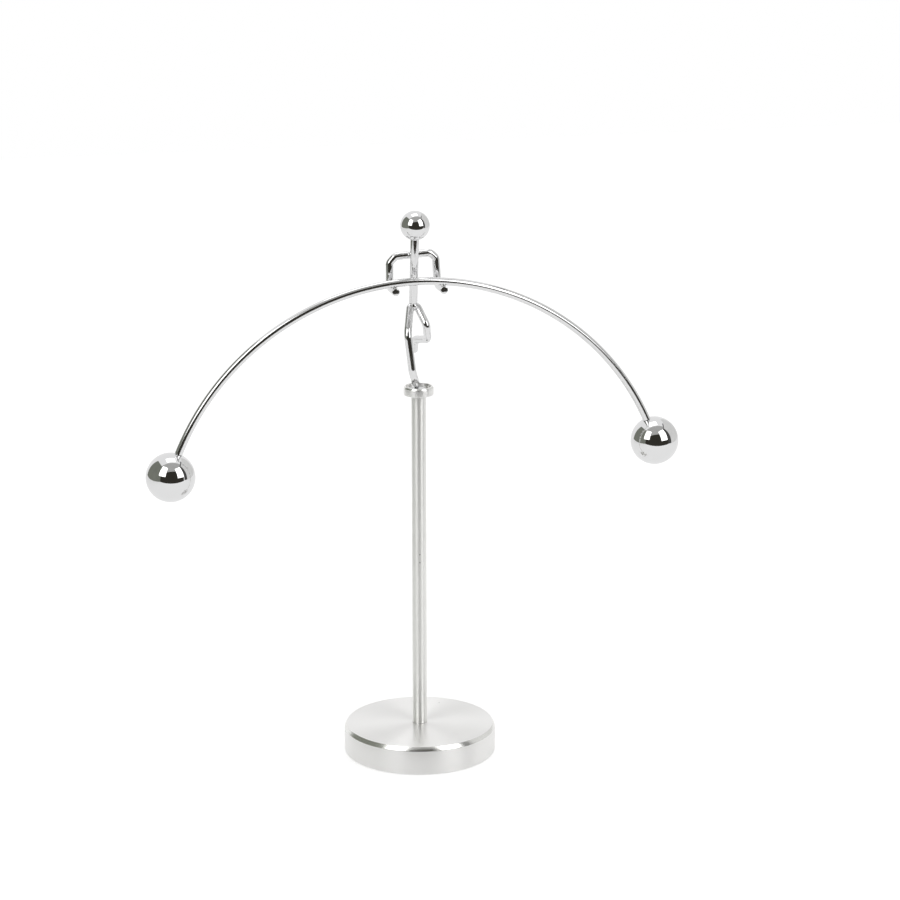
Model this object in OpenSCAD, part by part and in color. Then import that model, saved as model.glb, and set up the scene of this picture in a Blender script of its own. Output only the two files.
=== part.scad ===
// Balance pendulum: a wire figure stands on one toe in a small cup on a pillar and holds
// a long curved bar with a heavy ball at each end. The balls hang lower than the toe, so
// the figure rocks, nods and turns on its toe without falling.
// The origin is on the pillar's axis, on the surface that the base rests on. +X runs along
// the balance bar, -Y is the side that the figure faces, +Z is up. Millimetres.

/* [Base] */
// Diameter of the turned base disc
base_d = 63; // [45:0.5:90]
// Thickness of the base disc
base_h = 12; // [11:0.5:20]
// Width of the polished chamfer round the top edge
base_chamfer = 1; // [0.5:0.1:3]
// Height of the polished chamfer
base_chamfer_h = 1.7; // [0.5:0.1:3]
// Chamfer round the bottom edge
base_foot_chamfer = 0.5; // [0.2:0.1:1]
// Depth of the socket in the base that the pillar stands in
pillar_socket = 2; // [1:0.1:3]

/* [Base pad] */
// Diameter of the foam pad under the base
pad_d = 56; // [30:0.5:60]
// Thickness of the foam pad
pad_t = 1; // [0.6:0.1:2]
// How far the pad stands out below the base
pad_proud = 0.2; // [0.1:0.05:0.5]

/* [Base screw] */
// Shank diameter of the screw that holds the pillar
screw_d = 4; // [3:0.5:4.5]
// Length of the screw under its head
screw_len = 14; // [10:1:20]
// Diameter of the screw's head
screw_head_d = 7; // [5.5:0.5:9]
// Height of the screw's head
screw_head_h = 3.6; // [2:0.1:4]
// Width across the flats of the hexagon socket in the head
screw_hex = 3; // [2:0.5:3.5]
// Depth of the hexagon socket
screw_hex_depth = 2; // [1:0.1:3]
// Outer diameter of the washer under the head
washer_d = 8; // [7:0.1:10]
// Thickness of the washer
washer_t = 0.8; // [0.4:0.1:1.2]

/* [Pillar] */
// Diameter of the pillar
pillar_d = 6; // [5.5:0.1:9]
// Full length of the pillar, with the end that stands in the base
pillar_len = 143; // [90:1:200]
// Small chamfer on both ends of the pillar
pillar_chamfer = 0.3; // [0.1:0.05:0.6]

/* [Cup] */
// Outer diameter of the cup on top of the pillar
cup_d = 12.3; // [11:0.1:16]
// Height of the cup
cup_h = 3.6; // [3.2:0.1:6]
// Thickness of the wall round the recess
cup_wall = 1.05; // [0.6:0.05:1.5]
// Depth of the recess, with the seat disc's share
cup_recess = 1.6; // [1.4:0.1:2.4]
// Small chamfer round the cup's bottom edge
cup_foot_chamfer = 0.2; // [0.1:0.05:0.4]
// Width of the polished chamfer round the cup's rim
cup_chamfer = 0.4; // [0.2:0.05:0.6]
// Height of the cup's polished chamfer
cup_chamfer_h = 0.7; // [0.3:0.1:1]
// Diameter of the stub that holds the cup in the pillar
stub_d = 3; // [2:0.1:3.5]
// Length of the stub
stub_len = 6; // [3:0.5:10]

/* [Seat and toe] */
// Diameter of the hard seat disc in the cup
seat_d = 7; // [5:0.5:8]
// Thickness of the seat disc
seat_t = 0.8; // [0.6:0.05:1.2]
// Radius of the round dimple that centres the toe
dimple_r = 3; // [2:0.1:5]
// Depth of the dimple
dimple_depth = 0.3; // [0.1:0.05:0.45]
// Diameter of the ball point under the toe
toe_d = 2.2; // [1.6:0.1:2.6]
// Distance of the toe to the left of the cup's middle
toe_left = 0.83; // [0:0.01:1]

/* [Figure] */
// Diameter of the wire that the legs are bent from
leg_d = 3.2; // [2.6:0.1:3.6]
// Diameter of the wire that the arms are bent from
arm_d = 3.2; // [2.4:0.1:3.6]
// Diameter of the rod that makes the body
torso_d = 3.5; // [2.8:0.1:4.5]
// Height of the body rod's foot above the toe
hip_h = 32.9; // [30:0.1:38]
// Distance of the body rod's foot behind the toe
hip_back = 8.1; // [6:0.1:10]
// Distance of the body rod's foot to the right of the toe
hip_right = 0.7; // [0:0.1:1.5]
// Forward lean of the body rod, in degrees
torso_lean = 8.5; // [3:0.5:12]
// Lean of the body rod to the left, in degrees
torso_side = 0.6; // [0:0.1:2]
// Distance from the body rod's foot to the middle of the head
head_up = 32.9; // [28:0.2:38]
// Diameter of the ball that makes the head
head_d = 12; // [9:0.5:15]
// Depth to which the body rod enters the head
head_grip = 3.5; // [2:0.1:4.5]

/* [Legs] */
// Bend radius of the standing ankle and knee
leg_bend = 6; // [3:0.5:7]
// Bend radius of both legs at the hips
hip_bend = 1.8; // [1.7:0.1:2]
// Bend radius of the raised knee
raised_knee_bend = 3; // [2.5:0.5:4]
// Bend radius of the raised shin and ankle
tight_bend = 2.6; // [2.2:0.1:3]
// Height of the standing ankle above the toe
ankle_h = 6.6; // [6:0.1:8]
// Distance of the standing ankle to the left of the toe
ankle_left = 2.2; // [1:0.1:3]
// Distance of the standing ankle in front of the toe
ankle_front = 1.9; // [0:0.1:3]
// Height of the standing knee above the toe
knee_h = 22.3; // [19:0.1:23]
// Distance of the standing knee to the left of the toe
knee_left = 3.9; // [3:0.1:5]
// Distance of the standing knee in front of the toe
knee_front = 1.3; // [0:0.1:2.5]
// Distance from the body rod's foot to the left, to the top bend of the standing leg
thigh_left = 1.3; // [1.1:0.05:1.6]
// Distance from the body rod's foot to the right, to the top bend of the raised leg
thigh_right = 1.4; // [1.1:0.05:1.6]
// Distance from the body rod's foot down to both top bends
thigh_drop = 1.2; // [1:0.05:1.4]
// Height of the raised knee above the toe
raised_knee_h = 24.6; // [24:0.1:27]
// Distance of the raised knee to the right of the toe
raised_knee_right = 4.7; // [4:0.1:6]
// Distance of the raised knee behind the toe
raised_knee_back = 2.1; // [1:0.1:3]
// Height of the bend below the raised knee above the toe
shin_h = 18.1; // [17:0.1:19]
// Distance of that bend to the right of the toe
shin_right = 5.7; // [5:0.1:6.5]
// Distance of that bend behind the toe
shin_back = 4.1; // [3:0.1:5]
// Run of the raised shank to the back
shank_back = 10.7; // [9:0.1:14]
// Sideways run of the raised shank towards the middle
shank_in = 2.7; // [1.5:0.1:4]
// Drop of the raised shank to its ankle
shank_drop = 2.1; // [0:0.1:4]
// Length of the raised foot, from its ankle to its tip
foot_len = 5.8; // [5:0.1:8]
// Angle by which the raised foot points back, in degrees
foot_slant = 22; // [10:1:35]

/* [Arms] */
// Height of the shoulders above the toe
shoulder_h = 52.6; // [48:0.2:58]
// Distance from the middle of the shoulders to each forearm
arm_half = 10; // [8:0.1:14]
// Distance of the middle of the shoulders to the right of the toe
arm_right = 1; // [0:0.1:1.5]
// Distance by which the right elbow is closer in than its hand
right_elbow_in = 0.8; // [0:0.1:1.5]
// Sideways slope of the shoulders, in degrees
shoulder_slope = 3.7; // [0:0.1:5]
// Size of the slanted corner at each elbow
elbow_cut = 2.4; // [2:0.1:3]
// Bend radius of the elbows
elbow_bend = 2.4; // [2:0.1:3]
// Bend radius of the wrists
wrist_bend = 2.4; // [2:0.1:4]
// Forward reach of each hand past the middle of the bar
hand_past = 1.9; // [1.2:0.1:3]

/* [Balance bar] */
// Diameter of the bar's wire
bar_d = 3.2; // [2.6:0.1:3.6]
// Radius of the bar's curve, to the middle of the wire
bar_radius = 107; // [90:1:130]
// Half of the angle that the curve spans, in degrees
bar_half_angle = 66.5; // [50:0.1:75]
// Height of the middle of the bar above the toe
bar_h = 43.45; // [38:0.05:50]
// Distance of the middle of the bar's curve to the right of the toe
bar_right = 0.3; // [0:0.01:1]
// Distance of the bar in front of the toe
bar_front = 1; // [0:0.05:4]
// Angle by which the whole bar hangs lower on the left, in degrees
bar_tilt = 0.6; // [0:0.05:2]
// Diameter of the turned-down tail at each end of the bar
tail_d = 2.4; // [1.6:0.1:2.4]
// Depth to which each tail enters its ball
bar_grip = 7; // [4:0.5:9]
// Diameter of the balls at the ends of the bar
ball_d = 20; // [14:0.5:28]

/* [Brazing] */
// Radius of the braze where the legs meet the body rod
hip_braze_r = 2.1; // [1.8:0.1:2.4]
// Radius of the braze between the arm wire and the body rod
shoulder_braze_r = 1.1; // [0.6:0.1:1.5]
// Radius of the braze between each hand and the bar
hand_braze_r = 1.1; // [0.6:0.1:1.5]

/* [Hidden] */
$fn = 64;

// Clearances: a rod in its hole, the screw's head and washer, the seat disc, the toe
slide_gap = 0.03;
screw_gap = 0.15;
head_gap = 0.6;
seat_gap = 0.1;
toe_gap = 0.05;
// Gap between two brazed wires, which the braze fills
braze_gap = 0.1;
// Small overlap that carries a cut past a face
past = 0.5;
// Spare depth behind a screw or stub, and of the screw's head above the pad
tap_spare = 1;
head_sink = 0.3;
// A bend is this much thicker than its wire and the straight runs lap into it, so that
// they join cleanly
bend_swell = 0.02;
lap = 0.05;

// Stand, from the resting surface up
pad_pocket = pad_t - pad_proud;
base_z = pad_proud;
base_top = base_z + base_h;
pocket_top = base_z + pad_pocket;
screw_room = screw_head_h + washer_t + head_sink;
screw_seat_z = pocket_top + screw_room;
counterbore_d = max(screw_head_d, washer_d) + head_gap;
pillar_z = base_top - pillar_socket;
pillar_top = pillar_z + pillar_len;
screw_tap = screw_seat_z - washer_t + screw_len - pillar_z + tap_spare;
cup_rim = pillar_top + cup_h;
recess_r = cup_d / 2 - cup_wall;
seat_z = cup_rim - cup_recess;
seat_top = seat_z + seat_t;

// The toe ball's centre, on which the whole figure turns, rocks and nods. Every height
// and distance of the figure is taken from it.
toe_z = seat_top - dimple_depth + toe_gap + toe_d / 2;
toe = [-toe_left, 0, toe_z];

// Body rod, from its foot at the hips to the head
hip = toe + [hip_right, hip_back, hip_h];
torso_dir = unit([-tan(torso_side), -tan(torso_lean), 1]);
head = hip + head_up * torso_dir;
torso_len = head_up - head_d / 2 + head_grip;

// Balance bar, in front of the toe by as much as it takes to bring the whole figure's
// centre of mass above the toe
bar_y = toe.y - bar_front;
bar_centre = [toe.x + bar_right, bar_y, toe.z + bar_h - bar_radius];
// Angle by which the tail at each end leaves the curve's tangent, so that the middle of
// the ball lies on the continued curve
tail_turn = asin(ball_d / 4 / bar_radius);
function bar_z(x) = bar_centre.z + sqrt(pow(bar_radius, 2) - pow(x - bar_centre.x, 2));

// Arms, just behind the body rod, with the hands forward under the bar
function shoulder_z(x) = toe.z + shoulder_h + (x - toe.x) * tan(shoulder_slope);
chest = hip + (shoulder_z(hip.x) - hip.z) / torso_dir.z * torso_dir;
arm_y = chest.y + ((torso_d + arm_d) / 2 + braze_gap) / torso_dir.z;
hand_y = bar_y - hand_past;
function hand_x(s) = toe.x + arm_right + s * arm_half;
function hand_z(x) = bar_z(x) - (bar_d + arm_d) / 2 - braze_gap;
// One arm from the tip of its hand to the shoulder, on the side s = -1 or 1
function arm_side(s) =
    let (x = hand_x(s), elbow = s > 0 ? x - right_elbow_in : x,
         inner = elbow - s * elbow_cut)
    [[x, hand_y, hand_z(x)],
     [x, arm_y, hand_z(x)],
     [elbow, arm_y, shoulder_z(elbow) - elbow_cut],
     [inner, arm_y, shoulder_z(inner)]];
arm_points = concat(arm_side(-1), [for (i = [3:-1:0]) arm_side(1)[i]]);
arm_bends = [wrist_bend, elbow_bend, elbow_bend, elbow_bend, elbow_bend, wrist_bend];

// Standing leg, from the top of its tapered toe up to the hips
ankle = toe + [-ankle_left, -ankle_front, ankle_h];
knee = toe + [-knee_left, -knee_front, knee_h];
thigh_top = hip + [-thigh_left, 0, -thigh_drop];
toe_dir = unit(ankle - toe);
toe_tip = 0.1 * toe_d;
toe_tip_d = 1.2 * toe_d;
toe_taper = 0.8;
// Both legs end inside the hip's braze: this far beside and below the body rod's foot
leg_end_left = [0.2, 0, -1.5];
leg_end_right = [-0.6, 0, -1.5];
hip_braze_shift = [0, 0, -1.4];
standing_points = [toe + (toe_tip + toe_taper) * toe_dir, ankle, knee, thigh_top,
                   hip + leg_end_left];
standing_bends = [leg_bend, leg_bend, hip_bend];

// Raised leg, from the hips forward to the knee, down, back along the shank and down to
// the tip of its foot
raised_thigh = hip + [thigh_right, 0, -thigh_drop];
raised_knee = toe + [raised_knee_right, raised_knee_back, raised_knee_h];
shin = toe + [shin_right, shin_back, shin_h];
raised_ankle = shin + [-shank_in, shank_back, -shank_drop];
foot_dir = [0, sin(foot_slant), -cos(foot_slant)];
raised_points = [hip + leg_end_right, raised_thigh, raised_knee, shin, raised_ankle,
                 raised_ankle + foot_len * foot_dir];
raised_bends = [hip_bend, raised_knee_bend, tight_bend, tight_bend];

function unit(v) = v / norm(v);
// Angle by which a wire turns at the corner b between a and c
function turn(a, b, c) = acos(min(1, unit(b - a) * unit(c - b)));
// Distance from that corner to each end of a bend of radius r
function setback(a, b, c, r) = r * tan(turn(a, b, c) / 2);

// A straight rod from a to b of diameter d, or one that tapers from d to d2
module rod(a, b, d, d2 = 0) {
    v = b - a;
    translate(a)
        rotate([0, acos(v.z / norm(v)), atan2(v.y, v.x)])
            cylinder(h = norm(v), d1 = d, d2 = d2 > 0 ? d2 : d);
}

// The bend of radius r at the corner b of a wire of diameter d
module bend(a, b, c, r, d) {
    along = unit(b - a);
    inward = unit(unit(c - b) - (along * unit(c - b)) * along);
    normal = cross(-inward, along);
    middle = b - setback(a, b, c, r) * along + r * inward;
    multmatrix([[-inward.x, along.x, normal.x, middle.x],
                [-inward.y, along.y, normal.y, middle.y],
                [-inward.z, along.z, normal.z, middle.z],
                [0, 0, 0, 1]])
        rotate_extrude(angle = turn(a, b, c))
            translate([r, 0])
                circle(d = d + bend_swell);
}

// A wire of diameter d through the points p, bent at each corner by the radii r
module bent_wire(p, r, d) {
    last = len(p) - 1;
    for (i = [0:last - 1]) {
        dir = unit(p[i + 1] - p[i]);
        start = i == 0 ? p[0]
            : p[i] + (setback(p[i - 1], p[i], p[i + 1], r[i - 1]) - lap) * dir;
        end = i == last - 1 ? p[last]
            : p[i + 1] - (setback(p[i], p[i + 1], p[i + 2], r[i]) - lap) * dir;
        rod(start, end, d);
    }
    for (i = [1:last - 1])
        bend(p[i - 1], p[i], p[i + 1], r[i - 1], d);
}

// A disc of diameter d and height h with chamfers at its foot and its rim, the rim's
// one with a height of its own where rim_h is given
module chamfered_disc(d, h, foot, rim, rim_h = 0) {
    rotate_extrude()
        polygon([[0, 0], [d / 2 - foot, 0], [d / 2, foot],
                 [d / 2, h - (rim_h > 0 ? rim_h : rim)], [d / 2 - rim, h], [0, h]]);
}

// Turned base disc with the pillar's socket, the screw's way and the pad's pocket
module base_disc() {
    color("silver")
    difference() {
        translate([0, 0, base_z])
            chamfered_disc(base_d, base_h, base_foot_chamfer, base_chamfer,
                           base_chamfer_h);
        translate([0, 0, pillar_z])
            cylinder(h = pillar_socket + past, d = pillar_d + 2 * slide_gap);
        translate([0, 0, base_z])
            cylinder(h = base_h, d = screw_d + 2 * screw_gap);
        translate([0, 0, base_z - past])
            cylinder(h = screw_seat_z - base_z + past, d = counterbore_d);
        translate([0, 0, base_z - past])
            cylinder(h = pad_pocket + past, d = pad_d + 2 * seat_gap);
    }
}

// Soft pad glued into the pocket under the base
module base_pad() {
    color("dimgray")
        cylinder(h = pad_t, d = pad_d);
}

// Socket head screw that pulls the pillar into the base from below
module base_screw() {
    head_z = screw_seat_z - washer_t - screw_head_h;
    color("gray")
    difference() {
        union() {
            translate([0, 0, head_z])
                cylinder(h = screw_head_h, d = screw_head_d);
            translate([0, 0, head_z + screw_head_h])
                cylinder(h = screw_len, d = screw_d);
        }
        translate([0, 0, head_z - past])
            cylinder(h = screw_hex_depth + past, d = screw_hex / cos(30), $fn = 6);
    }
}

// Washer between the screw's head and the base
module screw_washer() {
    color("gainsboro")
    translate([0, 0, screw_seat_z - washer_t])
    difference() {
        cylinder(h = washer_t, d = washer_d);
        translate([0, 0, -past])
            cylinder(h = washer_t + 2 * past, d = screw_d + 2 * screw_gap);
    }
}

// Straight pillar, tapped at both ends
module pillar() {
    color("lightgray")
    difference() {
        translate([0, 0, pillar_z])
            chamfered_disc(pillar_d, pillar_len, pillar_chamfer, pillar_chamfer);
        translate([0, 0, pillar_z - past])
            cylinder(h = screw_tap + past, d = screw_d + 2 * slide_gap);
        translate([0, 0, pillar_top - stub_len - tap_spare])
            cylinder(h = stub_len + tap_spare + past, d = stub_d + 2 * slide_gap);
    }
}

// Turned cup with a shallow recess and a stub that goes into the pillar
module cup() {
    color("silver")
    difference() {
        union() {
            translate([0, 0, pillar_top])
                chamfered_disc(cup_d, cup_h, cup_foot_chamfer, cup_chamfer,
                               cup_chamfer_h);
            translate([0, 0, pillar_top - stub_len])
                cylinder(h = stub_len, d = stub_d);
        }
        translate([0, 0, seat_z])
            cylinder(h = cup_recess + past, r = recess_r);
    }
}

// Hard disc under the toe in the cup's recess, with the dimple that centres the toe
module seat_disc() {
    color("darkgray")
    translate([toe.x, toe.y, 0])
    difference() {
        translate([0, 0, seat_z])
            cylinder(h = seat_t, d = seat_d);
        translate([0, 0, seat_top - dimple_depth + dimple_r])
            sphere(r = dimple_r);
    }
}

// Small hard ball under the toe: the point that the figure stands on
module toe_point() {
    color("dimgray")
        translate(toe)
            sphere(d = toe_d);
}

// The space that the body rod and what is above it takes, used to trim the legs
module above_hip() {
    rod(hip, hip + 6 * torso_dir, 3 * torso_d);
}

// The standing leg's wire, from the top of its tapered toe to the hips
module standing_wire() {
    bent_wire(standing_points, standing_bends, leg_d);
}

// Bent wire from the toe to the hips, tapered at the toe and cupped over the toe ball
module standing_leg() {
    color("lightsteelblue")
    difference() {
        union() {
            standing_wire();
            rod(toe + toe_tip * toe_dir, standing_points[0] + lap * toe_dir,
                toe_tip_d, leg_d - bend_swell);
        }
        above_hip();
        translate(toe)
            sphere(d = toe_d + 2 * toe_gap);
    }
}

// The raised leg's wire, from inside the hips to the tip of its foot
module raised_wire() {
    bent_wire(raised_points, raised_bends, leg_d);
}

// Bent wire of the raised leg, its upper end fitted against the standing leg
module raised_leg() {
    color("lightsteelblue")
    difference() {
        raised_wire();
        above_hip();
        standing_wire();
    }
}

// Braze that joins both legs and the body rod
module hip_braze() {
    color("lightgray")
    difference() {
        translate(hip + hip_braze_shift)
            sphere(r = hip_braze_r);
        above_hip();
        standing_wire();
        raised_wire();
    }
}

// Straight rod that makes the figure's body and neck
module torso_rod() {
    color("gainsboro")
        rod(hip, hip + torso_len * torso_dir, torso_d);
}

// Ball that makes the head, bored for the end of the body rod
module head_ball() {
    color("silver")
    difference() {
        translate(head)
            sphere(d = head_d);
        rod(hip, hip + (torso_len + slide_gap) * torso_dir, torso_d + 2 * slide_gap);
    }
}

// One bent wire that makes both arms, behind the body rod and with the hands forward
module arm_wire() {
    color("lightsteelblue")
        bent_wire(arm_points, arm_bends, arm_d);
}

// Braze where the arm wire touches the back of the body rod
module shoulder_braze() {
    color("lightgray")
    difference() {
        rod(chest, [chest.x, arm_y, chest.z], 2 * shoulder_braze_r);
        torso_rod();
        arm_wire();
    }
}

// Braze under the bar at each hand
module hand_brazes() {
    color("lightgray")
    for (x = [hand_x(-1), hand_x(1)]) {
        hand = [x, bar_y, hand_z(x)];
        bar = [x, bar_y, bar_z(x)];
        along = [1, 0, bar_z(x + 0.5) - bar_z(x - 0.5)];
        across = [0, 1, 0];
        difference() {
            rod(hand, bar, 2 * hand_braze_r);
            rod(bar - 2 * along, bar + 2 * along, bar_d + bend_swell);
            rod(hand - 2 * across, hand + 2 * across, arm_d);
        }
    }
}

// Places its children at an end of the bar: the end's face at the origin, the way of its
// tail along +Z, on the side s = -1 or 1
module at_bar_end(s) {
    angle = s * bar_half_angle - bar_tilt;
    translate(bar_centre)
        rotate([0, angle, 0])
            translate([0, 0, bar_radius])
                rotate([0, s * (90 + tail_turn), 0])
                    children();
}

// Curved bar with a short straight tail at each end for its ball
module balance_bar() {
    color("silver")
    union() {
        translate(bar_centre)
            rotate([90, -bar_tilt, 0])
                rotate([0, 0, 90 - bar_half_angle])
                    rotate_extrude(angle = 2 * bar_half_angle)
                        translate([bar_radius, 0])
                            circle(d = bar_d);
        for (s = [-1, 1])
            at_bar_end(s)
                translate([0, 0, -past])
                    cylinder(h = bar_grip + past, d = tail_d);
    }
}

// Ball of diameter d on the bar's end, drilled for the bar's tail
module end_ball(s) {
    at_bar_end(s)
        difference() {
            translate([0, 0, ball_d / 2 + slide_gap])
                sphere(d = ball_d);
            translate([0, 0, -past])
                cylinder(h = bar_grip + past + slide_gap, d = tail_d + 2 * slide_gap);
        }
}

module left_ball() {
    color("silver")
        end_ball(-1);
}

module right_ball() {
    color("silver")
        end_ball(1);
}

base_disc();
base_pad();
base_screw();
screw_washer();
pillar();
cup();
seat_disc();
toe_point();
standing_leg();
raised_leg();
hip_braze();
torso_rod();
head_ball();
arm_wire();
shoulder_braze();
hand_brazes();
balance_bar();
left_ball();
right_ball();
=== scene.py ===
# %% [markdown]
# # A balance pendulum of chromed wire and turned steel
#
# This lesson dresses a desk toy: a wire figure stands on one toe on a thin pillar and holds
# a long curved bar with a steel ball at each end. Its frame, a CAD model with real sizes
# and joints, is loaded first. Every cell after that makes one piece or one finish.
#
# Almost all of this toy is mirror, so its looks come from two things: surfaces that are
# really smooth, and a studio that is worth reflecting.

# %% Load the frame
from math import asin, ceil, cos, degrees, pi, radians, sin, sqrt, tan

import bmesh
import bpy
from mathutils import Matrix, Vector


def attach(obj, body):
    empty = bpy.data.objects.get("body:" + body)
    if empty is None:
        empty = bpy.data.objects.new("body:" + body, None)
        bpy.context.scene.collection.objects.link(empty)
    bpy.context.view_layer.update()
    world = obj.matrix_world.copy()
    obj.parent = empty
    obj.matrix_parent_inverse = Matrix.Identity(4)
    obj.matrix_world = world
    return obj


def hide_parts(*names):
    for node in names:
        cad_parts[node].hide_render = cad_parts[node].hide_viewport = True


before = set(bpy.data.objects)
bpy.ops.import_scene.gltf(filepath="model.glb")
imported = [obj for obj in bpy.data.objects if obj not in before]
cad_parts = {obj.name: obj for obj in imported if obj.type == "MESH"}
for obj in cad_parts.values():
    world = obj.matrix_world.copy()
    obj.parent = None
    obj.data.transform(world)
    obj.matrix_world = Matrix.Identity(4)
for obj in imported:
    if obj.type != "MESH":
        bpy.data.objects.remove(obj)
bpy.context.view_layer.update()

# %% [markdown]
# ## Units and small helpers
#
# The toy is small, so its sizes are easier to read in millimetres. Each piece is modelled
# in millimetres and scaled to metres once, in its mesh, when it is finished. Its object
# then stays at the origin, unturned and unscaled, as the frame's own pieces are.

# %% Millimetres, and how a piece is finished
MM = 0.001
ACROSS = Vector((1, 0, 0))
BACK = Vector((0, 1, 0))
UP = Vector((0, 0, 1))


def finish_piece(name, bm, node, body, finishes, crease=30):
    """Makes a piece from a bmesh in millimetres. It stands for a CAD node and rides on
    that node's body."""
    bmesh.ops.recalc_face_normals(bm, faces=bm.faces)
    bmesh.ops.scale(bm, vec=(MM, MM, MM), verts=bm.verts)
    for face in bm.faces:
        face.smooth = True
    mesh = bpy.data.meshes.new(name)
    bm.to_mesh(mesh)
    bm.free()
    mesh.set_sharp_from_angle(angle=radians(crease))
    for finish in finishes:
        mesh.materials.append(finish)
    piece = bpy.data.objects.new(name, mesh)
    bpy.context.collection.objects.link(piece)
    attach(piece, body)
    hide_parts(node)
    print(name, "faces:", len(mesh.polygons), "size in mm:",
          [round(v / MM, 1) for v in piece.dimensions])
    return piece


# %% [markdown]
# ## Materials from nodes
#
# A material is a small graph. This helper adds one node, sets its plain inputs and links
# the rest, so that each finish below reads as a recipe: where the pattern sits, what it
# looks like, and which quality of the metal it changes.

# %% A helper for the material graphs
def add(tree, kind, inputs=None, **settings):
    """Adds a node. An input that is another node's output is linked, any other is set."""
    node = tree.nodes.new("ShaderNode" + kind)
    for key, value in settings.items():
        setattr(node, key, value)
    for key, value in (inputs or {}).items():
        if isinstance(value, bpy.types.NodeSocket):
            tree.links.new(value, node.inputs[key])
        else:
            node.inputs[key].default_value = value
    return node


def metal(name, colour, roughness, anisotropy=0.0):
    """A plain bright metal, and the tree that the finishes below add their detail to."""
    material = bpy.data.materials.new(name)
    material.use_nodes = True
    tree = material.node_tree
    shader = tree.nodes["Principled BSDF"]
    shader.inputs["Base Color"].default_value = (*colour, 1)
    shader.inputs["Metallic"].default_value = 1
    shader.inputs["Roughness"].default_value = roughness
    shader.inputs["Anisotropic"].default_value = anisotropy
    return material, tree, shader


def spread(tree, value, low, high):
    """Maps a noise value, which lies mostly between 0.3 and 0.7, to the range low..high."""
    return add(tree, "MapRange", {"Value": value, "From Min": 0.3, "From Max": 0.7,
                                  "To Min": low, "To Max": high}).outputs["Result"]


def tint(tree, value, dark, light):
    """Blends between a darker and a lighter tone of a metal."""
    mix = add(tree, "Mix", {"Factor": value}, data_type="RGBA")
    for socket in mix.inputs:
        if socket.type == "RGBA":
            socket.default_value = (*(dark if socket.name == "A" else light), 1)
    return next(s for s in mix.outputs if s.type == "RGBA")


def millimetres(tree):
    """Object coordinates counted in millimetres."""
    place = add(tree, "TexCoord").outputs["Object"]
    return add(tree, "VectorMath", {0: place, "Scale": 1000}, operation="SCALE").outputs[0]


# %% [markdown]
# ## Finish: mirror chrome on the balls
#
# The balls are bearing balls, plated and polished. A mirror at this size is never quite
# perfect: the plating has a faint waviness, some haze where it has been handled, and a few
# pits and grains of dust. Plain low roughness would look like a computer's chrome, so
# noise moves the roughness and a very shallow bump bends the reflections a little.

# %% Mirror chrome
def specks(tree, place, per_mm, size):
    """A few small pits: 1 in a pit and 0 elsewhere."""
    cells = add(tree, "TexVoronoi", {"Vector": place, "Scale": per_mm}, feature="F1")
    rare = add(tree, "Math", {0: cells.outputs["Color"], 1: 0.86}, operation="GREATER_THAN")
    near = add(tree, "Math", {0: cells.outputs["Distance"], 1: size}, operation="LESS_THAN")
    return add(tree, "Math", {0: rare.outputs[0], 1: near.outputs[0]},
               operation="MULTIPLY").outputs[0]


def mirror_chrome():
    material, tree, shader = metal("mirror_chrome", (0.78, 0.78, 0.785), 0.03)
    place = millimetres(tree)
    haze = add(tree, "TexNoise", {"Vector": place, "Scale": 0.22, "Detail": 4})
    fine = add(tree, "TexNoise", {"Vector": place, "Scale": 2.5, "Detail": 3})
    both = add(tree, "Math", {0: haze.outputs["Fac"], 1: 0.7, 2: 0.0}, operation="MULTIPLY")
    both = add(tree, "Math", {0: fine.outputs["Fac"], 1: 0.3, 2: both.outputs[0]},
               operation="MULTIPLY_ADD")
    pits = specks(tree, place, 0.9, 0.06)
    rough = add(tree, "Math", {0: pits, 1: 0.4, 2: spread(tree, both.outputs[0], 0.015, 0.06)},
                operation="MULTIPLY_ADD")
    tree.links.new(rough.outputs[0], shader.inputs["Roughness"])
    tree.links.new(tint(tree, pits, (0.78, 0.78, 0.785), (0.3, 0.3, 0.3)),
                   shader.inputs["Base Color"])
    waves = add(tree, "TexNoise", {"Vector": place, "Scale": 0.3, "Detail": 1})
    bump = add(tree, "Bump", {"Height": waves.outputs["Fac"], "Strength": 1.0,
                              "Distance": 6e-6})
    tree.links.new(bump.outputs["Normal"], shader.inputs["Normal"])
    return material


ball_finish = mirror_chrome()
print("made", ball_finish.name)

# %% [markdown]
# ## Finish: chrome over drawn wire
#
# The wire was drawn through a die before it was bent and plated, and the die leaves fine
# lines along it. They have to follow the wire round its bends. Object coordinates can't do
# that, so every wire below carries an attribute, wire_place, which says where each of its
# points lay while the wire was still straight: across it in x and y, and along it in z.
# Noise that is stretched along z draws the lines.

# %% Drawn and plated wire
def drawn_chrome(name, colour, low, high):
    material, tree, shader = metal(name, colour, low)
    straight = add(tree, "Attribute", attribute_name="wire_place").outputs["Vector"]
    lengthwise = add(tree, "Mapping", {"Vector": straight, "Scale": (1, 1, 0.03)})
    lines = add(tree, "TexNoise", {"Vector": lengthwise.outputs[0], "Scale": 3.2, "Detail": 3})
    wear = add(tree, "TexNoise", {"Vector": straight, "Scale": 0.35, "Detail": 4})
    both = add(tree, "Math", {0: lines.outputs["Fac"], 1: wear.outputs["Fac"]},
               operation="MULTIPLY")
    both = add(tree, "Math", {0: both.outputs[0]}, operation="SQRT")
    tree.links.new(spread(tree, both.outputs[0], low, high), shader.inputs["Roughness"])
    pits = specks(tree, straight, 0.7, 0.09)
    tree.links.new(tint(tree, pits, colour, (0.28, 0.28, 0.28)), shader.inputs["Base Color"])
    bump = add(tree, "Bump", {"Height": lines.outputs["Fac"], "Strength": 1.0,
                              "Distance": 4e-6})
    tree.links.new(bump.outputs["Normal"], shader.inputs["Normal"])
    return material


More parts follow.
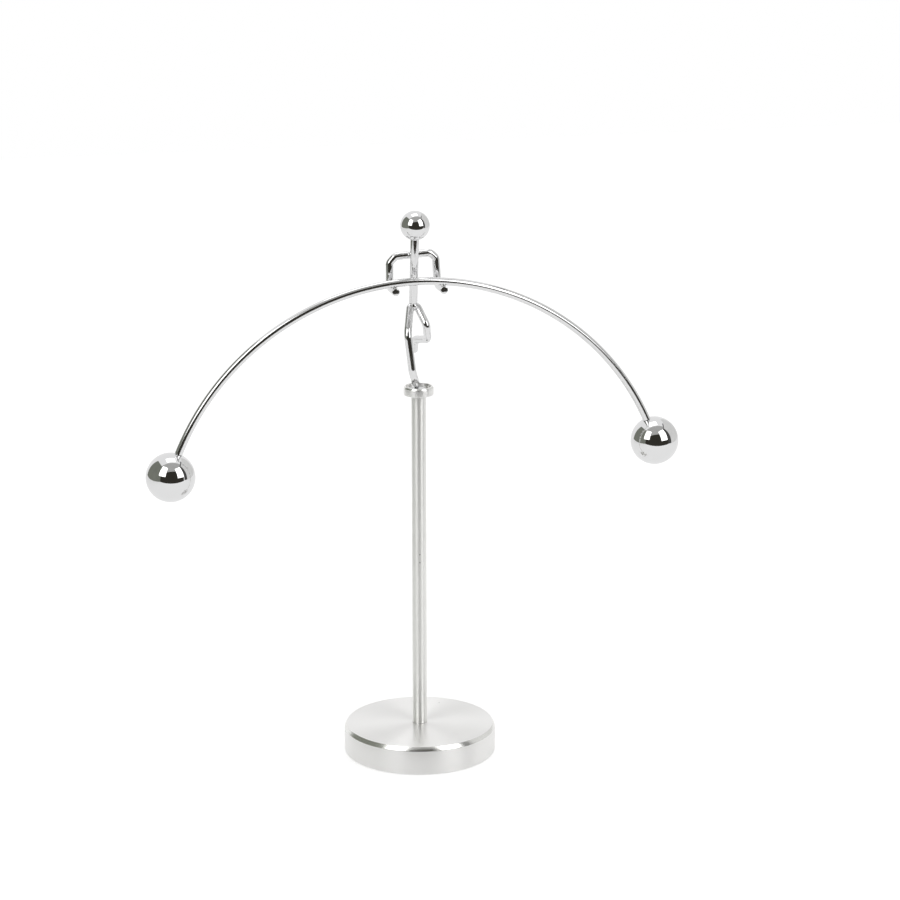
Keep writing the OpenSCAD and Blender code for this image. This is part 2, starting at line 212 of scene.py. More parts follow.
wire_finish = drawn_chrome("drawn_chrome", (0.77, 0.77, 0.775), 0.06, 0.14)
bar_finish = drawn_chrome("drawn_bar_chrome", (0.77, 0.77, 0.775), 0.07, 0.16)
print("made", wire_finish.name, "and", bar_finish.name)

# %% [markdown]
# ## Finish: turned and ground steel
#
# A lathe leaves rings. Each ring is a tiny groove, and thousands of them together spread a
# reflection across the grooves but not along them. That is why a turned disc shows a fan
# of light, and a ground rod shows clean upright stripes. The shader has this built in as
# anisotropy; it only has to know which way the grooves run, which here is always round
# the vertical axis: the cross product of that axis with the point's own place. The shader
# draws a reflection out along its tangent, so the tangent is turned by a quarter.

# %% Turned steel
def turned_steel(name, colour, roughness, anisotropy, ring_depth):
    material, tree, shader = metal(name, colour, roughness, anisotropy)
    place = millimetres(tree)
    grooves = add(tree, "VectorMath", {0: UP, 1: place}, operation="CROSS_PRODUCT")
    grooves = add(tree, "VectorMath", {0: grooves.outputs[0]}, operation="NORMALIZE")
    tree.links.new(grooves.outputs[0], shader.inputs["Tangent"])
    shader.inputs["Anisotropic Rotation"].default_value = 0.25
    parts = add(tree, "SeparateXYZ", {0: place})
    flat = add(tree, "CombineXYZ", {"X": parts.outputs["X"], "Y": parts.outputs["Y"]})
    radius = add(tree, "VectorMath", {0: flat.outputs[0]}, operation="LENGTH")
    rings_at = add(tree, "CombineXYZ", {"X": radius.outputs["Value"],
                                        "Z": parts.outputs["Z"]})
    rings = add(tree, "TexNoise", {"Vector": rings_at.outputs[0], "Scale": 2.2, "Detail": 5})
    smudges = add(tree, "TexNoise", {"Vector": place, "Scale": 0.09, "Detail": 5})
    both = add(tree, "Math", {0: rings.outputs["Fac"], 1: smudges.outputs["Fac"]},
               operation="MULTIPLY")
    both = add(tree, "Math", {0: both.outputs[0]}, operation="SQRT")
    tree.links.new(spread(tree, both.outputs[0], roughness - 0.04, roughness + 0.06),
                   shader.inputs["Roughness"])
    pits = specks(tree, place, 0.35, 0.1)
    tree.links.new(tint(tree, pits, colour, tuple(0.55 * c for c in colour)),
                   shader.inputs["Base Color"])
    bump = add(tree, "Bump", {"Height": rings.outputs["Fac"], "Strength": 1.0,
                              "Distance": ring_depth})
    tree.links.new(bump.outputs["Normal"], shader.inputs["Normal"])
    return material


base_finish = turned_steel("turned_steel", (0.90, 0.895, 0.885), 0.36, 0.85, 4e-6)
pillar_finish = turned_steel("ground_steel", (0.93, 0.93, 0.91), 0.42, 0.85, 3e-6)
edge_finish = turned_steel("polished_edge", (0.88, 0.88, 0.86), 0.23, 0.3, 1e-6)
print("made", base_finish.name, pillar_finish.name, edge_finish.name)

# %% [markdown]
# ## Finish: hardened steel with painted shade, plain screw steel, braze and foam
#
# The toe's ball is hardened steel, a little blued; its dark colour is painted shade, the
# contact shadow and dark reflection under the toe. Its seat is kept brighter,
# because the inside of the cup looks light in the photograph. The
# braze at the joints is plated with the rest but was filed by hand first, so it is lumpy.
# The pad under the base is closed-cell foam: matt, nearly black, full of tiny pores.

# %% The small finishes
def speckled_metal(name, colour, low, high, lumps_per_mm, lump_height):
    material, tree, shader = metal(name, colour, low)
    place = millimetres(tree)
    lumps = add(tree, "TexNoise", {"Vector": place, "Scale": lumps_per_mm, "Detail": 3})
    tree.links.new(spread(tree, lumps.outputs["Fac"], low, high), shader.inputs["Roughness"])
    tree.links.new(tint(tree, lumps.outputs["Fac"], tuple(0.85 * c for c in colour),
                        tuple(1.12 * c for c in colour)), shader.inputs["Base Color"])
    bump = add(tree, "Bump", {"Height": lumps.outputs["Fac"], "Strength": 1.0,
                              "Distance": lump_height})
    tree.links.new(bump.outputs["Normal"], shader.inputs["Normal"])
    return material


def foam(name):
    material, tree, shader = metal(name, (0.03, 0.03, 0.032), 0.9)
    shader.inputs["Metallic"].default_value = 0
    place = millimetres(tree)
    pores = add(tree, "TexVoronoi", {"Vector": place, "Scale": 3.0}, feature="F1")
    tree.links.new(tint(tree, pores.outputs["Distance"], (0.018, 0.018, 0.02),
                        (0.055, 0.055, 0.058)), shader.inputs["Base Color"])
    bump = add(tree, "Bump", {"Height": pores.outputs["Distance"], "Strength": 1.0,
                              "Distance": 1e-4})
    tree.links.new(bump.outputs["Normal"], shader.inputs["Normal"])
    return material


# The toe ball's dark base colour is painted shade: the contact shadow under the toe.
toe_painted_shade_finish = speckled_metal("hard_steel", (0.34, 0.34, 0.36), 0.10, 0.22, 1.6, 3e-6)
seat_finish = speckled_metal("seat_steel", (0.70, 0.70, 0.70), 0.22, 0.34, 1.2, 3e-6)
screw_finish = speckled_metal("screw_steel", (0.55, 0.55, 0.56), 0.22, 0.38, 1.2, 6e-6)
braze_finish = speckled_metal("plated_braze", (0.74, 0.74, 0.74), 0.06, 0.16, 1.1, 6e-5)
foam_finish = foam("pad_foam")
print("made", toe_painted_shade_finish.name, screw_finish.name, braze_finish.name, foam_finish.name)

# %% [markdown]
# ## The stand: pieces from a lathe
#
# Base, pad, pillar, cup and seat are all round. The natural way to make them is the way a
# lathe does: draw half of the outline once and spin it round the axis. A bevel on the
# sharp corners then gives each edge the small radius that catches the light; without it
# an edge looks like paper.

# %% Spin an outline round the vertical axis
def turn_on_lathe(outline, closed=False, edge=0.1, steps=160):
    """Spins an outline of (radius, height) points and rounds its sharp corners."""
    bm = bmesh.new()
    points = [bm.verts.new((r, 0, z)) for r, z in outline]
    for a, b in zip(points, points[1:]):
        bm.edges.new((a, b))
    if closed:
        bm.edges.new((points[-1], points[0]))
    bmesh.ops.spin(bm, geom=bm.verts[:] + bm.edges[:], cent=(0, 0, 0), axis=UP,
                   angle=2 * pi, steps=steps, use_merge=True)
    bmesh.ops.remove_doubles(bm, verts=bm.verts, dist=1e-4)
    bmesh.ops.recalc_face_normals(bm, faces=bm.faces)
    if edge:
        corners = [e for e in bm.edges if e.calc_face_angle(0) > radians(20)]
        bmesh.ops.bevel(bm, geom=corners, offset=edge, segments=3, profile=0.5,
                        affect="EDGES", material=-1, clamp_overlap=True)
    return bm


# %% The base disc
BASE_D, BASE_H, BASE_Z = 63, 12, 0.2
BASE_TOP = BASE_Z + BASE_H
EDGE_W, EDGE_H = 1.0, 1.7
PILLAR_D, PILLAR_LEN, SOCKET = 6, 143, 2
PILLAR_Z = BASE_TOP - SOCKET
PILLAR_TOP = PILLAR_Z + PILLAR_LEN
SLIDE = 0.03

base = turn_on_lathe([
    (31.0, BASE_Z), (BASE_D / 2, BASE_Z + 0.5),
    (BASE_D / 2, BASE_TOP - EDGE_H), (BASE_D / 2 - EDGE_W, BASE_TOP),
    (PILLAR_D / 2 + SLIDE, BASE_TOP), (PILLAR_D / 2 + SLIDE, PILLAR_Z),
    (2.15, PILLAR_Z), (2.15, 5.7), (4.3, 5.7), (4.3, 1.0), (28.1, 1.0), (28.1, BASE_Z),
], closed=True, edge=0.12, steps=192)
for face in base.faces:
    outside = face.calc_center_median().xy.length > BASE_D / 2 - EDGE_W
    if outside and 0.25 < face.normal.z < 0.9:
        face.material_index = 1
finish_piece("turned_base", base, "base_disc", "stand",
             [base_finish, edge_finish])

# %% [markdown]
# ## Pad, screw and washer
#
# The pad is glued into a shallow pocket and stands out by 0.2 mm. Above it, inside the
# base, a socket head screw with a washer pulls the pillar down. The screw and the washer
# are never seen from outside, so the frame's own solids stay and only get their finish.

# %% The pad, and a finish for the hidden screw
pad = turn_on_lathe([(0, 0), (28, 0), (28, 1), (0, 1)], edge=0.12, steps=128)
finish_piece("foam_pad", pad, "base_pad", "stand", [foam_finish])

for hidden in ("base_screw", "screw_washer"):
    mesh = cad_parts[hidden].data
    mesh.materials.clear()
    mesh.materials.append(screw_finish)
print("the hidden screw and washer wear", screw_finish.name)

# %% [markdown]
# ## Pillar and cup
#
# The pillar is a ground rod, tapped at both ends. The cup is turned from the bar with a
# stub below that goes into the pillar. In its recess lies a hard disc with a dimple, a
# little to the left of the middle, which keeps the toe in its place.

# %% The pillar
pillar = turn_on_lathe([
    (0, 19.9), (2.03, 19.9), (2.03, PILLAR_Z), (2.7, PILLAR_Z), (3, PILLAR_Z + 0.3),
    (3, PILLAR_TOP - 0.3), (2.7, PILLAR_TOP), (1.53, PILLAR_TOP), (1.53, PILLAR_TOP - 7),
    (0, PILLAR_TOP - 7),
], edge=0.06, steps=96)
finish_piece("ground_pillar", pillar, "pillar", "stand", [pillar_finish])

# %% The cup and its seat
CUP_R, CUP_H, RECESS_R, RECESS = 6.15, 3.6, 5.1, 1.6
CUP_FOOT, CUP_EDGE_W, CUP_EDGE_H = 0.2, 0.4, 0.7
SEAT_R, SEAT_T = 3.5, 0.8
CUP_RIM = PILLAR_TOP + CUP_H
SEAT_Z = CUP_RIM - RECESS
SEAT_TOP = SEAT_Z + SEAT_T
cup = turn_on_lathe([
    (0, PILLAR_TOP - 6), (1.5, PILLAR_TOP - 6), (1.5, PILLAR_TOP),
    (CUP_R - CUP_FOOT, PILLAR_TOP), (CUP_R, PILLAR_TOP + CUP_FOOT),
    (CUP_R, CUP_RIM - CUP_EDGE_H), (CUP_R - CUP_EDGE_W, CUP_RIM),
    (RECESS_R, CUP_RIM), (RECESS_R, SEAT_Z), (0, SEAT_Z),
], edge=0.06, steps=128)
for face in cup.faces:
    middle = face.calc_center_median()
    if middle.xy.length > CUP_R - CUP_EDGE_W and middle.z > CUP_RIM - CUP_EDGE_H:
        face.material_index = 1
finish_piece("turned_cup", cup, "cup", "stand", [base_finish, edge_finish])

DIMPLE_R, DIMPLE_DEPTH, TOE_LEFT = 3, 0.3, 0.83
dimple_rim = asin(sqrt(DIMPLE_R ** 2 - (DIMPLE_R - DIMPLE_DEPTH) ** 2) / DIMPLE_R)
dimple = [(DIMPLE_R * sin(a), SEAT_TOP - DIMPLE_DEPTH + DIMPLE_R - DIMPLE_R * cos(a))
          for a in (dimple_rim * k / 6 for k in range(6, -1, -1))]
seat = turn_on_lathe([(0, SEAT_Z), (SEAT_R, SEAT_Z), (SEAT_R, SEAT_TOP)] + dimple,
                     edge=0.04, steps=96)
bmesh.ops.translate(seat, verts=seat.verts, vec=-TOE_LEFT * ACROSS)
finish_piece("hard_seat", seat, "seat_disc", "seat", [seat_finish])

# %% [markdown]
# ## Balls
#
# A ball is an arc spun round its axis, and the arc itself is one point spun round the
# ball's middle. Made this way it is a true sphere with its poles on the axis that the
# wire enters along, so the hole for the wire is simply where the arc starts. A ready-made
# sphere would need a hole cut through its rings of faces.

# %% Spin a point to an arc, and the arc to a ball
def ball(middle, axis, diameter, bore=0.0, depth=0.0, steps=96):
    """A ball with a hole of diameter bore and that depth, which opens towards -axis."""
    bm = bmesh.new()
    radius = diameter / 2
    start = asin(bore / diameter)
    first = bm.verts.new((radius * sin(start), 0, -radius * cos(start)))
    bmesh.ops.spin(bm, geom=[first], cent=(0, 0, 0), axis=(0, -1, 0), angle=pi - start,
                   steps=steps // 2)
    if bore:
        mouth = bm.verts.new((bore / 2 - 0.001, 0, -radius * cos(start) + depth))
        end = bm.verts.new((0, 0, mouth.co.z))
        bm.edges.new((first, mouth))
        bm.edges.new((mouth, end))
    bmesh.ops.spin(bm, geom=bm.verts[:] + bm.edges[:], cent=(0, 0, 0), axis=UP,
                   angle=2 * pi, steps=steps, use_merge=True)
    bmesh.ops.remove_doubles(bm, verts=bm.verts, dist=1e-4)
    turned = UP.rotation_difference(axis).to_matrix()
    bmesh.ops.rotate(bm, verts=bm.verts, cent=(0, 0, 0), matrix=turned)
    bmesh.ops.translate(bm, verts=bm.verts, vec=middle)
    return bm


# %% The toe's ball
TOE = Vector((-TOE_LEFT, 0, SEAT_TOP - DIMPLE_DEPTH + 0.05 + 1.1))
TOE_D = 2.2
# Its dark finish is painted shade for the contact shadow under the toe.
finish_piece("toe_ball", ball(TOE, UP, TOE_D, steps=64), "toe_point", "toe",
             [toe_painted_shade_finish])

# %% [markdown]
# ## Bent wire
#
# Everything else on the figure is round wire, and it is made here as a wire bender makes
# it. A circle of points is the wire's free end. Feeding pulls that end forward; bending
# turns it about the middle of the bend in small steps. Each step extrudes the ring of
# edges once. A curve with a round profile would be quicker, but this keeps wire_place
# exact, gives the bends their real radius, and leaves a clean tube.

# %% A wire that is fed and bent
class Wire:
    """A round wire. Its free end is a ring of edges that feed() and bend() move on."""

    def __init__(self, start, direction, diameter, sides=36):
        self.bm = bmesh.new()
        self.place = self.bm.verts.layers.float_vector.new("wire_place")
        ring = bmesh.ops.create_circle(self.bm, segments=sides, radius=diameter / 2)["verts"]
        for vert in ring:
            vert[self.place] = vert.co
        self.ring, self.run = ring, 0.0
        self.at, self.dir = Vector(start), Vector(direction).normalized()
        turned = UP.rotation_difference(self.dir).to_matrix()
        bmesh.ops.rotate(self.bm, verts=ring, cent=(0, 0, 0), matrix=turned)
        bmesh.ops.translate(self.bm, verts=ring, vec=self.at)

    def extrude(self):
        inside = set(self.ring)
        edges = [e for e in self.bm.edges if inside.issuperset(e.verts)]
        made = bmesh.ops.extrude_edge_only(self.bm, edges=edges)["geom"]
        self.ring = [g for g in made if isinstance(g, bmesh.types.BMVert)]

    def mark(self, length):
        """Writes how far along the straight wire the free end now is."""
        self.run += length
        for vert in self.ring:
            vert[self.place] = (*vert[self.place].xy, self.run)

    def feed(self, length, scale=1.0):
        """Pulls the end forward, and makes it thicker or thinner by scale."""
        self.extrude()
        self.at = self.at + length * self.dir
        bmesh.ops.translate(self.bm, verts=self.ring, vec=length * self.dir)
        for vert in self.ring:
            vert.co = self.at + scale * (vert.co - self.at)
        self.mark(length)

    def bend(self, new_dir, radius, step=5):
        """Turns the end towards new_dir on a bend of that radius."""
        new_dir = new_dir.normalized()
        angle = self.dir.angle(new_dir)
        axis = self.dir.cross(new_dir).normalized()
        middle = self.at + radius * axis.cross(self.dir)
        parts = max(2, ceil(degrees(angle) / step))
        turn = Matrix.Rotation(angle / parts, 3, axis)
        for _ in range(parts):
            self.extrude()
            bmesh.ops.rotate(self.bm, verts=self.ring, cent=middle, matrix=turn)
            self.at = middle + turn @ (self.at - middle)
            self.mark(radius * angle / parts)
        self.dir = new_dir

    def close(self, edge=0.25):
        """Caps both ends and rounds their rims."""
        rims = [e for e in self.bm.edges if e.is_boundary]
        bmesh.ops.holes_fill(self.bm, edges=rims, sides=0)
        if edge:
            bmesh.ops.bevel(self.bm, geom=rims, offset=edge, segments=3, profile=0.5,
                            affect="EDGES", material=-1)
        return self.bm


def bent_wire(points, radii, diameter):
    """A wire through the points, bent at each inner one by its radius."""
    def way(k):
        return (points[k + 1] - points[k]).normalized()

    def setback(k):
        return radii[k - 1] * tan(way(k - 1).angle(way(k)) / 2)

    last = len(points) - 1
    wire = Wire(points[0], way(0), diameter)
    for k in range(last):
        length = (points[k + 1] - points[k]).length
        length -= (setback(k) if k else 0) + (setback(k + 1) if k + 1 < last else 0)
        wire.feed(length)
        if k + 1 < last:
            wire.bend(way(k + 1), radii[k])
    return wire


# %% [markdown]
# ## The legs
#
# Both legs start under the body rod, where their tops make a small arch. The standing leg
# runs forward and down over a soft knee and ankle to the toe, where it is cupped over the
# hard ball. The raised leg comes forward to its knee, turns down, runs straight back and
# ends in a foot that points down.

# %% Places on the figure
TORSO_LEAN, TORSO_SIDE = radians(8.5), radians(0.6)
LEG_D, ARM_D, TORSO_D, BAR_D = 3.2, 3.2, 3.5, 3.2
HIP = TOE + Vector((0.7, 8.1, 32.9))
TORSO_DIR = Vector((-tan(TORSO_SIDE), -tan(TORSO_LEAN), 1)).normalized()
HEAD_D, HEAD_UP, HEAD_GRIP = 12, 32.9, 3.5
HEAD = HIP + HEAD_UP * TORSO_DIR
HIP_BEND, LEG_BEND, KNEE_BEND, TIGHT_BEND = 1.8, 6, 3, 2.6
print("hips at", [round(v, 1) for v in HIP], "head at", [round(v, 1) for v in HEAD])

# %% The standing leg
ankle = TOE + Vector((-2.2, -1.9, 6.6))
knee = TOE + Vector((-3.9, -1.3, 22.3))
toe_dir = (ankle - TOE).normalized()
TAPER, TOE_TIP = 0.8, 0.1 * TOE_D
leg = bent_wire([HIP + Vector((0.2, 0, -1.5)), HIP + Vector((-1.3, 0, -1.2)), knee, ankle,
                 TOE + (TOE_TIP + TAPER) * toe_dir], [HIP_BEND, LEG_BEND, LEG_BEND], LEG_D)
leg.feed(TAPER, 1.2 * TOE_D / LEG_D)
leg.feed(-0.22, 0.8)
leg.feed(-0.2, 0.6)
finish_piece("standing_leg_wire", leg.close(edge=0), "standing_leg", "figure",
             [wire_finish])

# %% The raised leg
raised_knee = TOE + Vector((4.7, 2.1, 24.6))
shin = TOE + Vector((5.7, 4.1, 18.1))
raised_ankle = shin + Vector((-2.7, 10.7, -2.1))
foot = raised_ankle + 5.8 * Vector((0, sin(radians(22)), -cos(radians(22))))
raised = bent_wire([HIP + Vector((-0.6, 0, -1.5)), HIP + Vector((1.4, 0, -1.2)),
                    raised_knee, shin, raised_ankle, foot],
                   [HIP_BEND, KNEE_BEND, TIGHT_BEND, TIGHT_BEND], LEG_D)
finish_piece("raised_leg_wire", raised.close(), "raised_leg", "figure",
             [wire_finish])

# %% [markdown]
# ## Body rod and head
#
# The body is a straight rod a little thicker than the wires. It leans forward and, by a
# little, to the left. It goes
# 3.5 mm into the ball that is the head.

# %% The body rod and the head
torso = Wire(HIP, TORSO_DIR, TORSO_D, sides=40)
torso.feed(HEAD_UP - HEAD_D / 2 + HEAD_GRIP)
finish_piece("body_rod", torso.close(edge=0.12), "torso_rod", "figure",
             [wire_finish])
head_bore = TORSO_D + 2 * SLIDE
finish_piece("head_polished", ball(HEAD, TORSO_DIR, HEAD_D, head_bore, HEAD_GRIP - 0.1), "head_ball",
             "figure", [ball_finish])

# %% [markdown]
# ## The balance bar
#
# One arc of wire, turned down at both ends to a thin tail that is pressed into a ball.
# The tails tip inwards, so that each ball's middle lies on the continued arc. The bar is in
# front of the body rod by just as much as it takes to balance the whole figure on its toe.
# The left side hangs lower by a little over half a degree, because a hand-bent figure is
# never quite even.

# %% The bar and its balls
BAR_R, HALF_ANGLE, BAR_TILT = 107, radians(66.5), radians(0.6)
BAR_MIDDLE = TOE + Vector((0.3, -1, 43.45 - BAR_R))
TAIL_D, TAIL, BALL_D = 2.4, 7, 20
TAIL_TURN = asin(BALL_D / 4 / BAR_R)


def bar_end(side):
    """The end face's middle, and the ways of the arc and of the tail there, on side -1 or 1."""
    angle = side * HALF_ANGLE - BAR_TILT
    out = Vector((sin(angle), 0, cos(angle)))
    arc_way = side * Vector((cos(angle), 0, -sin(angle)))
    return (BAR_MIDDLE + BAR_R * out, arc_way,
            cos(TAIL_TURN) * arc_way - sin(TAIL_TURN) * out)


left_end, left_arc, left_tail = bar_end(-1)
right_end, right_arc, right_tail = bar_end(1)
bar = Wire(left_end + TAIL * left_tail, -left_tail, TAIL_D)
bar.feed(TAIL)
bar.bend(-left_arc, 0)
bar.feed(0, BAR_D / TAIL_D)
for way in (Vector((cos(BAR_TILT), 0, sin(BAR_TILT))), right_arc):
    bar.bend(way, BAR_R, step=1.4)
bar.feed(0, TAIL_D / BAR_D)
bar.bend(right_tail, 0)
bar.feed(TAIL)
finish_piece("bar_wire", bar.close(edge=0.15), "balance_bar", "figure",
             [bar_finish])

for name, node, end, out in (("left_ball_polished", "left_ball", left_end, left_tail),
                             ("right_ball_polished", "right_ball", right_end, right_tail)):
    middle = end + (BALL_D / 2 + SLIDE) * out
    finish_piece(name, ball(middle, out, BALL_D, TAIL_D + 2 * SLIDE, TAIL + SLIDE), node,
                 "figure", [ball_finish])

# %% [markdown]
# ## The arms
#
# Both arms are one wire behind the body rod. It turns down at two slanted elbows and then
# forwards at the wrists, so that the hands lie under the bar like two hooks.

# %% The arm wire
SHOULDER_UP, SHOULDER_SLOPE = 52.6, radians(3.7)
ARM_HALF, ARM_RIGHT, RIGHT_ELBOW_IN = 10, 1, 0.8
ELBOW_CUT, ARM_BEND, BRAZE_GAP = 2.4, 2.4, 0.1
HAND_Y = BAR_MIDDLE.y - 1.9


def shoulder_height(x):
    return TOE.z + SHOULDER_UP + (x - TOE.x) * tan(SHOULDER_SLOPE)


chest = HIP + (shoulder_height(HIP.x) - HIP.z) / TORSO_DIR.z * TORSO_DIR
ARM_Y = chest.y + ((TORSO_D + ARM_D) / 2 + BRAZE_GAP) / TORSO_DIR.z


def bar_height(x):
    return BAR_MIDDLE.z + sqrt(BAR_R ** 2 - (x - BAR_MIDDLE.x) ** 2)


def hand_height(x):
    return bar_height(x) - (BAR_D + ARM_D) / 2 - BRAZE_GAP


def hand_x(side):
    return TOE.x + ARM_RIGHT + side * ARM_HALF


def arm_side(side):
    """The points of one arm, from the tip of its hand to the shoulder."""
    x = hand_x(side)
    elbow = x - (RIGHT_ELBOW_IN if side > 0 else 0)
    inner = elbow - side * ELBOW_CUT
    return [Vector((x, HAND_Y, hand_height(x))), Vector((x, ARM_Y, hand_height(x))),
            Vector((elbow, ARM_Y, shoulder_height(elbow) - ELBOW_CUT)),
            Vector((inner, ARM_Y, shoulder_height(inner)))]


arms = bent_wire(arm_side(-1) + arm_side(1)[::-1], [ARM_BEND] * 6, ARM_D)
finish_piece("arm_wire_bent", arms.close(edge=0.35), "arm_wire", "figure",
             [wire_finish])

# %% [markdown]
# ## Braze at the joints
#
# Where two wires cross they only touch in a point, and the braze makes that point a small
# waisted neck: wide against each wire and narrow between them. The same wire helper makes
# it, by letting the ring shrink and grow while it is fed. At the hips three wires meet in
# a rounded lump instead.

# %% Waisted necks of braze
BRAZE_R, HIP_BRAZE_R = 1.1, 2.1


def neck(start, end, radius):
    """A neck from start to end whose middle is narrower than its ends."""
    steps = (1.0, 0.9, 0.85, 0.85, 0.9, 1.0, 1.2)
    length = (end - start).length / len(steps)
    wire = Wire(start, end - start, 2.4 * radius)
    width = 1.2
    for wanted in steps:
        wire.feed(length, wanted / width)
        width = wanted
    return wire.close(edge=0)


def joined(first, second):
    """Both bmeshes as one."""
    mesh = bpy.data.meshes.new("joining")
    second.to_mesh(mesh)
    second.free()
    first.from_mesh(mesh)
    bpy.data.meshes.remove(mesh)
    return first


chest_arm = Vector((chest.x, ARM_Y, chest.z))
finish_piece("shoulder_neck", neck(chest + 0.6 * BACK, chest_arm, BRAZE_R), "shoulder_braze",
             "figure", [braze_finish])

hands = None
for x in (hand_x(-1), hand_x(1)):
    one = neck(Vector((x, BAR_MIDDLE.y, hand_height(x) + 0.5)),
               Vector((x, BAR_MIDDLE.y, bar_height(x) - 0.5)), BRAZE_R)
    hands = joined(hands, one) if hands else one
finish_piece("hand_necks", hands, "hand_brazes", "figure", [braze_finish])

# %% The lump at the hips
lump = bmesh.new()
bmesh.ops.create_icosphere(lump, subdivisions=4, radius=HIP_BRAZE_R)
bmesh.ops.translate(lump, verts=lump.verts, vec=HIP + Vector((0, 0, -1.4)))
bmesh.ops.bisect_plane(lump, geom=lump.verts[:] + lump.edges[:] + lump.faces[:],
                       plane_co=HIP, plane_no=TORSO_DIR, clear_outer=True)
bmesh.ops.holes_fill(lump, edges=[e for e in lump.edges if e.is_boundary], sides=0)
finish_piece("hip_lump", lump, "hip_braze", "figure", [braze_finish])

# %% [markdown]
# ## The camera
#
# It stands a little to the left of the toy and looks down at it by about fifteen degrees.
# Its place came from fitting a camera to the known sizes of the toy.

# %% Camera
camera = bpy.data.objects.new("camera", bpy.data.cameras.new("camera"))
bpy.context.collection.objects.link(camera)
camera.data.lens = 116.731
camera.data.sensor_width = 36
camera.data.clip_start, camera.data.clip_end = 0.05, 20
right_way = Vector((0.96945220, -0.24527898, -0.00080469))
up_way = Vector((0.06402185, 0.24987331, 0.96615968))
look = right_way.cross(up_way)
camera.matrix_world = Matrix.Translation((-0.27013, -1.12068, 0.43755)) @ Matrix(
    (right_way, up_way, look)).transposed().to_4x4()
bpy.context.scene.camera = camera
print("camera looks along", [round(v, 3) for v in -look])

# %% [markdown]
# ## The studio
#
# Chrome has no colour of its own; it shows the room. So the room is built: a white table
# that ends half a metre in front of the toy, a dark room behind the camera, two upright
# softboxes left and right of it, a grey-green card on the left, a light grey one on the
# right, and a dim ceiling with one bright panel. The cards are hidden from the camera and
# seen only in reflections, so that they never stand in the way of another view.

# %% Cards, softboxes and panels
def card(name, corner, along, up, tone, gap=None):
    """A flat card seen only in reflections. Its tone is how bright it looks there."""
    bm = bmesh.new()
    bmesh.ops.create_grid(bm, x_segments=1, y_segments=1, size=0.5)
    place = Matrix((Vector(along), Vector(up), Vector(along).cross(Vector(up)).normalized()))
    middle = Vector(corner) + (Vector(along) + Vector(up)) / 2
    bmesh.ops.transform(bm, verts=bm.verts,
                        matrix=Matrix.Translation(middle) @ place.transposed().to_4x4())
    mesh = bpy.data.meshes.new(name)
    bm.to_mesh(mesh)
    bm.free()
    material = bpy.data.materials.new(name)
    material.use_nodes = True
    tree = material.node_tree
    tree.nodes.remove(tree.nodes["Principled BSDF"])
    place = add(tree, "TexCoord").outputs["Object"]
    cloudy = add(tree, "TexNoise", {"Vector": place, "Scale": 3.0, "Detail": 2})
    tones = tint(tree, cloudy.outputs["Fac"], tuple(0.85 * c for c in tone),
                 tuple(1.15 * c for c in tone))
    glow = add(tree, "Emission", {"Color": tones, "Strength": 1.0})
    tree.links.new(glow.outputs[0], tree.nodes["Material Output"].inputs["Surface"])
    mesh.materials.append(material)
    obj = bpy.data.objects.new(name, mesh)
    bpy.context.collection.objects.link(obj)
    obj.visible_camera = False
    return obj


def softbox(name, azimuth, reach, height, lean, size, brightness):
    """An upright area lamp. Azimuth 0 is in front of the toy; lean tips its top forwards."""
    lamp = bpy.data.lights.new(name, "AREA")
    lamp.shape = "RECTANGLE"
    lamp.size, lamp.size_y = size
    lamp.energy = brightness * pi * size[0] * size[1]
    obj = bpy.data.objects.new(name, lamp)
    bpy.context.collection.objects.link(obj)
    a = radians(azimuth)
    obj.location = (reach * sin(a), -reach * cos(a), height)
    obj.rotation_euler = (radians(90 - lean), 0, a)
    obj.visible_camera = False
    return obj


softbox("left_softbox", -54, 0.80, 0.77, 14, (0.50, 0.82), 2.2)
softbox("right_softbox", 37, 1.02, 0.79, 17, (0.64, 1.03), 2.2)
softbox("overhead_panel", 180, 0.32, 1.52, 90, (0.75, 0.62), 1.4)

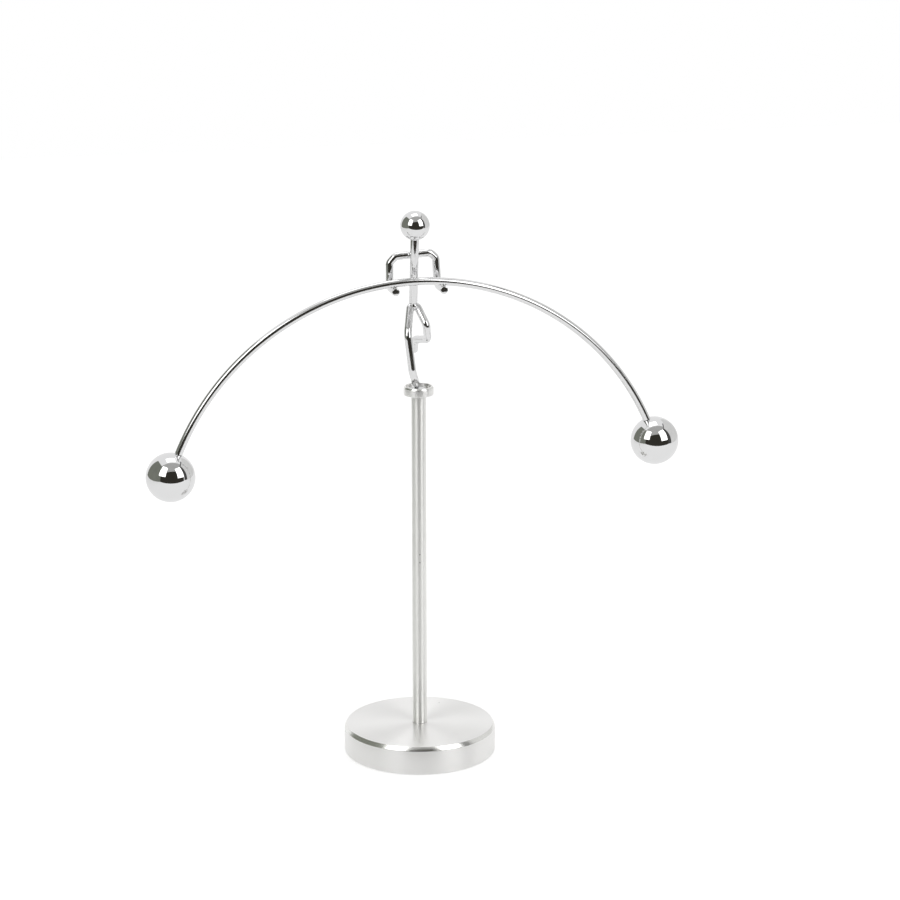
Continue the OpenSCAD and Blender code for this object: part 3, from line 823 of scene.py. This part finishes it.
card("dark_room", (-3.2, -1.75, -1.4), (5.6, 0, 0), (0, 0, 3.1), (0.036, 0.034, 0.028))
card("dim_ceiling", (-1.6, -1.75, 1.66), (3.2, 0, 0), (0, 1.62, 0), (0.46, 0.46, 0.45))
card("left_card", (-0.92, -0.54, 0.0), (0, 1.64, 0), (0, 0, 1.3), (0.20, 0.21, 0.18))
card("right_card", (0.98, -0.36, -0.02), (0, 1.7, 0), (0, 0, 1.4), (0.74, 0.74, 0.73))
card("dark_post", (0.83, -0.58, 0.0), (0.15, 0.25, 0), (0, 0, 1.35), (0.07, 0.07, 0.068))
card("dark_rail", (0.93, -0.50, 1.34), (0, 0.9, 0), (0.0, 0, 0.18), (0.12, 0.12, 0.12))
print("studio is up")

# %% [markdown]
# ## Table and background
#
# The table is half lit by the lamps and half glowing, so that it stays white and still
# takes the toy's soft shadow. Behind everything the world is plain white for the camera,
# and almost white for everything else.

# %% The table and the world
table_bm = bmesh.new()
bmesh.ops.create_grid(table_bm, x_segments=1, y_segments=1, size=1.0)
bmesh.ops.scale(table_bm, vec=(1.6, 1.05, 1), verts=table_bm.verts)
bmesh.ops.translate(table_bm, vec=(0, 0.53, 0), verts=table_bm.verts)
table_mesh = bpy.data.meshes.new("table")
table_bm.to_mesh(table_mesh)
table_bm.free()
table_paint = bpy.data.materials.new("table_paint")
table_paint.use_nodes = True
tree = table_paint.node_tree
tree.nodes.remove(tree.nodes["Principled BSDF"])
seen = add(tree, "LightPath").outputs["Is Camera Ray"]
matt = add(tree, "BsdfDiffuse", {"Color": (0.5, 0.5, 0.5, 1)})
extra = add(tree, "Math", {0: seen, 1: 0.15, 2: 0.5}, operation="MULTIPLY_ADD")
glow = add(tree, "Emission", {"Color": (1, 1, 1, 1), "Strength": extra.outputs[0]})
both = add(tree, "AddShader", {0: matt.outputs[0], 1: glow.outputs[0]})
tree.links.new(both.outputs[0], tree.nodes["Material Output"].inputs["Surface"])
table_mesh.materials.append(table_paint)
table = bpy.data.objects.new("table", table_mesh)
bpy.context.collection.objects.link(table)

world = bpy.data.worlds.new("white_room")
bpy.context.scene.world = world
world.use_nodes = True
tree = world.node_tree
seen = add(tree, "LightPath").outputs["Is Camera Ray"]
level = add(tree, "Math", {0: seen, 1: 0.08, 2: 0.92}, operation="MULTIPLY_ADD")
tree.links.new(level.outputs[0], tree.nodes["Background"].inputs["Strength"])
tree.nodes["Background"].inputs["Color"].default_value = (1, 1, 1, 1)
print("table and world are white")

# %% [markdown]
# ## Plain colour
#
# The Standard view shows a colour as it is written.

# %% View
bpy.context.scene.view_settings.view_transform = "Standard"
